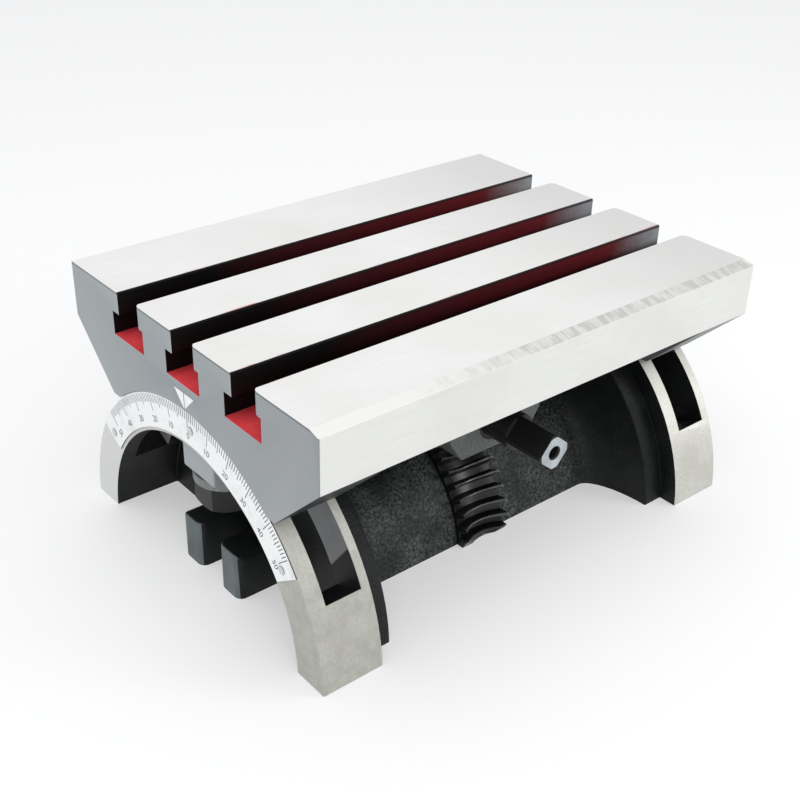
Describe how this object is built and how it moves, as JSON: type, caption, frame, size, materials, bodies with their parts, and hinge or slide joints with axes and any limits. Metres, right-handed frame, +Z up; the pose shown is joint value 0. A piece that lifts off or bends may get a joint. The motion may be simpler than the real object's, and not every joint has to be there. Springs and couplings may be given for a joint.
{
  "type": "tilting work table",
  "caption": "T-slotted work table that tilts on half-ring ends of a cast base, with an angle scale, worm adjustment from a square-ended shaft, and saddle clamps.",
  "frame": {"origin": "on the bed face, under the middle of the table", "axes": "+X along the tilt axis, away from the graduated end; +Z up out of the working face; -Y towards the operator and the worm shaft's square end"},
  "size_m": [0.3048, 0.2286, 0.1509],
  "materials": {
    "table_iron": "ground working faces, light grey paint on the ends",
    "base_casting": "rough black casting paint, ground ring faces",
    "gear_iron": "machined and oiled, dark",
    "scale_enamel": "satin white with black marks",
    "white_enamel": "satin white",
    "bracket_iron": "rough as cast",
    "black_steel": "black oxide",
    "bright_steel": "turned, bright",
    "shaft_steel": "black oxide with a bare turned end",
    "worm_steel": "machined and oiled",
    "shoe_iron": "light blue-grey paint",
    "bush_bronze": "turned bronze"
  },
  "bodies": {
    "base": {"base_casting": "base_casting", "gear_segment": "gear_iron", "scale_plate": "scale_enamel", "scale_rivets": "bright_steel"},
    "table": {"table_casting": "table_iron", "zero_pointer": "white_enamel", "front_bearing_bracket": "bracket_iron", "rear_bearing_bracket": "bracket_iron", "front_bracket_screws": "black_steel", "rear_bracket_screws": "black_steel", "front_bush": "bush_bronze", "rear_bush": "bush_bronze", "dial_end_clamp_stud": "bright_steel", "plain_end_clamp_stud": "bright_steel"},
    "worm": {"worm_shaft": "shaft_steel", "worm": "worm_steel", "worm_pin": "bright_steel", "front_thrust_washer": "bright_steel", "rear_thrust_washer": "bright_steel"},
    "dial_end_clamp": {"dial_end_clamp_shoe": "shoe_iron", "dial_end_clamp_washer": "bright_steel"},
    "dial_end_nut": {"dial_end_clamp_nut": "black_steel"},
    "plain_end_clamp": {"plain_end_clamp_shoe": "shoe_iron", "plain_end_clamp_washer": "bright_steel"},
    "plain_end_nut": {"plain_end_clamp_nut": "black_steel"}
  },
  "joints": [
    {"name": "table_tilt", "type": "hinge", "parent": "base", "child": "table", "pos_m": [0, 0, -0.0055], "axis": [1, 0, 0], "range_deg": [-45, 45]},
    {"name": "worm_spin", "type": "hinge", "parent": "table", "child": "worm", "pos_m": [0, 0, 0.0825], "axis": [0, 1, 0], "range_deg": [-2260, 2260]},
    {"name": "dial_end_clamp_release", "type": "slide", "parent": "table", "child": "dial_end_clamp", "axis": [0, 0, 1], "range_m": [-0.0025, 0]},
    {"name": "dial_end_nut_turn", "type": "hinge", "parent": "dial_end_clamp", "child": "dial_end_nut", "pos_m": [-0.13, 0, 0.05], "axis": [0, 0, 1], "range_deg": [-361, 1]},
    {"name": "plain_end_clamp_release", "type": "slide", "parent": "table", "child": "plain_end_clamp", "axis": [0, 0, 1], "range_m": [-0.0025, 0]},
    {"name": "plain_end_nut_turn", "type": "hinge", "parent": "plain_end_clamp", "child": "plain_end_nut", "pos_m": [0.134, 0, 0.05], "axis": [0, 0, 1], "range_deg": [-361, 1]}
  ],
  "couplings": [
    {"joint": "worm_spin", "follows": "table_tilt", "ratio": -50},
    {"joint": "dial_end_nut_turn", "follows": "dial_end_clamp_release", "rad_per_m": 2513.3},
    {"joint": "plain_end_nut_turn", "follows": "plain_end_clamp_release", "rad_per_m": 2513.3}
  ]
}
